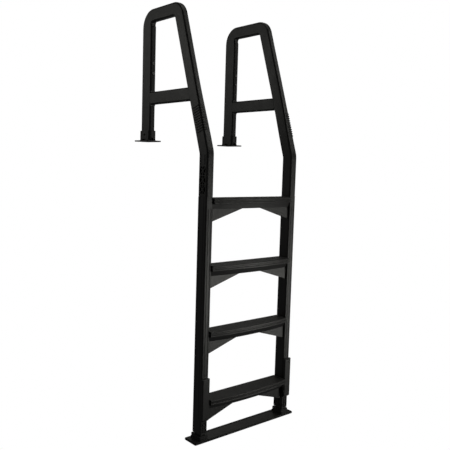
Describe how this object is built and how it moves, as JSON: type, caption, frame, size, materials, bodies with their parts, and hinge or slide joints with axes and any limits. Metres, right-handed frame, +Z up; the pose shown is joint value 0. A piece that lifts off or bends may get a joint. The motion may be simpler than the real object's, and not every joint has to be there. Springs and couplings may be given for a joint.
{
  "type": "pool ladder",
  "caption": "In-pool ladder with deck-mounted A-shaped handrails, hollow fluted stiles, nosed treads with gussets, and a base bar on telescoping legs.",
  "frame": {"origin": "on the deck surface, midway between the two deck flanges, at the centre of their screw holes", "axes": "+X to the right across the ladder as its climber sees it from the pool, +Y from the pool towards the deck, +Z up"},
  "size_m": [0.63, 0.5995, 2.004],
  "materials": {
    "resin": "satin moulded black resin",
    "tread_resin": "satin moulded black resin with a non-slip grain",
    "inner_resin": "plain moulded resin",
    "stainless": "blackened stainless steel",
    "core_tube": "mill-finish tube",
    "rubber": "soft black rubber"
  },
  "bodies": {
    "ladder": {"handrail_left": "resin", "handrail_right": "resin", "stile_left": "resin", "stile_right": "resin", "tread_1": "tread_resin", "tread_2": "tread_resin", "tread_3": "tread_resin", "tread_4": "tread_resin", "bottom_bracket_left": "resin", "bottom_bracket_right": "resin", "bracket_screws": "stainless", "bottom_tread_screws": "stainless", "splice_left": "inner_resin", "splice_right": "inner_resin", "splice_screws": "stainless", "tread_bolts": "stainless", "tread_nuts": "stainless", "leg_core_left": "core_tube", "leg_core_right": "core_tube", "leg_core_screws": "stainless", "leg_core_nuts": "stainless", "leg_guide_left": "inner_resin", "leg_guide_right": "inner_resin", "clamp_bolts": "stainless", "clamp_washers": "stainless", "clamp_nuts": "stainless"},
    "base": {"lower_leg_left": "resin", "lower_leg_right": "resin", "base_socket_left": "resin", "base_socket_right": "resin", "base_plate": "resin", "base_pad": "rubber", "base_screws": "stainless"},
    "flange_left": {"deck_flange_left": "resin", "flange_gasket_left": "rubber", "flange_set_screw_left": "stainless"},
    "flange_right": {"deck_flange_right": "resin", "flange_gasket_right": "rubber", "flange_set_screw_right": "stainless"}
  },
  "joints": [
    {"name": "leg_adjust", "type": "slide", "parent": "ladder", "child": "base", "axis": [0, 0, -1], "range_m": [-0.006, 0.15]},
    {"name": "flange_slide_left", "type": "slide", "parent": "ladder", "child": "flange_left", "axis": [0, 0, -1], "range_m": [0, 0.022]},
    {"name": "flange_slide_right", "type": "slide", "parent": "ladder", "child": "flange_right", "axis": [0, 0, -1], "range_m": [0, 0.022]}
  ]
}
